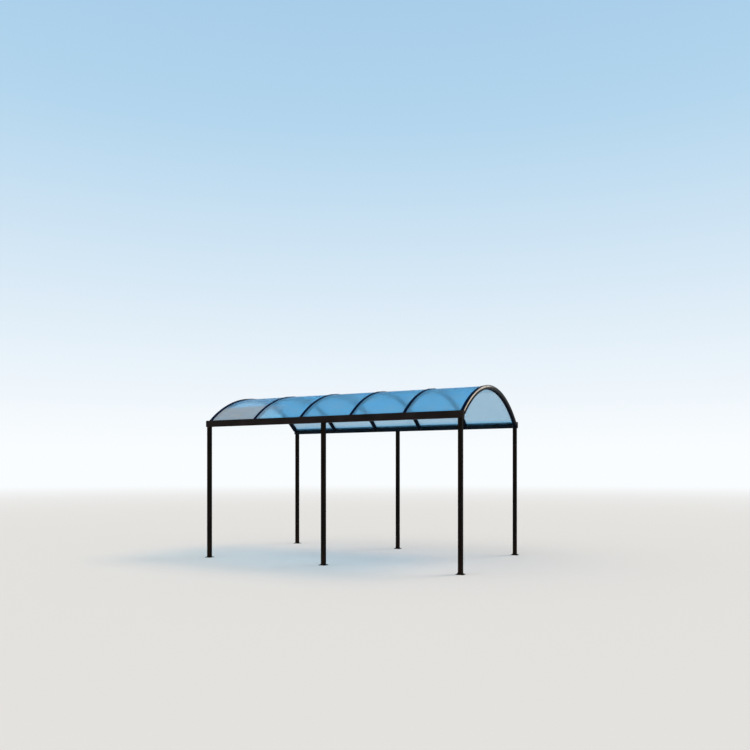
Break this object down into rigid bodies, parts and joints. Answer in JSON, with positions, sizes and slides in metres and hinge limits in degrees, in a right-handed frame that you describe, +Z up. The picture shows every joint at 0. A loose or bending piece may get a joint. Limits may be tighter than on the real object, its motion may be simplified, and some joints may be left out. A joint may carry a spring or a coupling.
{
  "type": "carport",
  "caption": "Free-standing carport with an arched roof of tinted clear sheets on curved ribs, two gutter beams and slim square posts, open on all sides.",
  "frame": {"origin": "on the floor, at the middle of the plan", "axes": "+X along the carport, +Y across it to the back, +Z up"},
  "size_m": [5.025, 3.045, 3.0458],
  "materials": {
    "post_paint": "satin",
    "plate_paint": "satin",
    "beam_paint": "satin",
    "rib_paint": "satin",
    "strip_anodised": "satin",
    "fascia_anodised": "satin",
    "tinted_sheet": "clear"
  },
  "bodies": {
    "root": {"arch_rib_1": "rib_paint", "arch_rib_2": "rib_paint", "arch_rib_3": "rib_paint", "arch_rib_4": "rib_paint", "arch_rib_5": "rib_paint", "arch_rib_6": "rib_paint", "base_plate_back_left": "plate_paint", "base_plate_back_middle": "plate_paint", "base_plate_back_right": "plate_paint", "base_plate_front_left": "plate_paint", "base_plate_front_middle": "plate_paint", "base_plate_front_right": "plate_paint", "cover_strip_1": "strip_anodised", "cover_strip_2": "strip_anodised", "cover_strip_3": "strip_anodised", "cover_strip_4": "strip_anodised", "cover_strip_5": "strip_anodised", "cover_strip_6": "strip_anodised", "end_fascia_left": "fascia_anodised", "end_fascia_right": "fascia_anodised", "gutter_beam_back": "beam_paint", "gutter_beam_front": "beam_paint", "gutter_cap_back_left": "beam_paint", "gutter_cap_back_right": "beam_paint", "gutter_cap_front_left": "beam_paint", "gutter_cap_front_right": "beam_paint", "post_back_left": "post_paint", "post_back_middle": "post_paint", "post_back_right": "post_paint", "post_front_left": "post_paint", "post_front_middle": "post_paint", "post_front_right": "post_paint", "roof_sheet_1": "tinted_sheet", "roof_sheet_2": "tinted_sheet", "roof_sheet_3": "tinted_sheet", "roof_sheet_4": "tinted_sheet", "roof_sheet_5": "tinted_sheet"}
  },
  "joints": []
}
